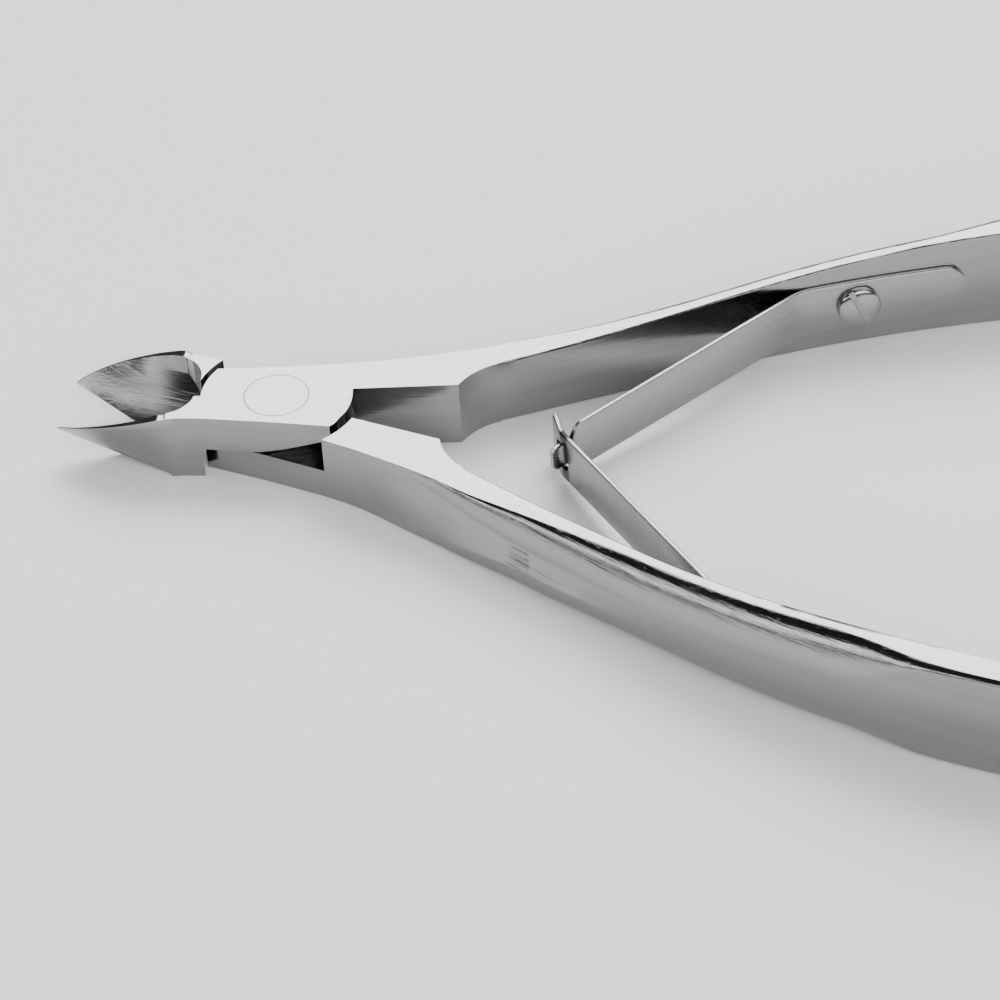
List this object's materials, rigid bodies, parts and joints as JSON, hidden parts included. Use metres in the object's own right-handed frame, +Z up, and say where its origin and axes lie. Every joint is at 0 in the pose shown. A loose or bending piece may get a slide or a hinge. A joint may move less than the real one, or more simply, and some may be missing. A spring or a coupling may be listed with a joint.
{
  "type": "cuticle nipper",
  "caption": "Hand nipper with two crossed halves on a rivet, hollow-ground pointed jaws, bowed handles and interlocking leaf springs that push them open.",
  "frame": {"origin": "on the pivot axis, at the flat underside of the lap joint", "axes": "+X along the middle line towards the handles' ends, +Y towards the handle of the half with the upper lap, +Z up along the pivot axis"},
  "size_m": [0.1149, 0.075, 0.011],
  "materials": {
    "polished_steel": "polished, with fine grinding lines",
    "rivet_steel": "ground flush",
    "spring_steel": "satin",
    "screw_steel": "polished"
  },
  "bodies": {
    "upper_half": {"upper_lap_half": "polished_steel", "pivot_rivet": "rivet_steel", "tongue_spring_foot": "spring_steel", "tongue_spring_screw": "screw_steel"},
    "lower_half": {"lower_lap_half": "polished_steel", "slotted_spring_foot": "spring_steel", "slotted_spring_screw": "screw_steel"},
    "tongue_leaf": {"tongue_spring_arm": "spring_steel"},
    "slotted_leaf": {"slotted_spring_arm": "spring_steel"}
  },
  "joints": [
    {"name": "pivot", "type": "hinge", "parent": "upper_half", "child": "lower_half", "pos_m": [0, 0, 0.0036], "axis": [0, 0, 1], "range_deg": [0, 18], "stiffness_Nm_per_rad": 1.2},
    {"name": "tongue_leaf_bend", "type": "hinge", "parent": "upper_half", "child": "tongue_leaf", "pos_m": [0.04759, 0.02283, 0.0051], "axis": [0, 0, 1], "range_deg": [-10.5, 0]},
    {"name": "slotted_leaf_bend", "type": "hinge", "parent": "lower_half", "child": "slotted_leaf", "pos_m": [0.04759, -0.02272, 0.0051], "axis": [0, 0, 1], "range_deg": [0, 10.5]}
  ],
  "couplings": [
    {"joint": "tongue_leaf_bend", "follows": "pivot", "ratio": -0.572},
    {"joint": "slotted_leaf_bend", "follows": "pivot", "ratio": 0.576}
  ]
}
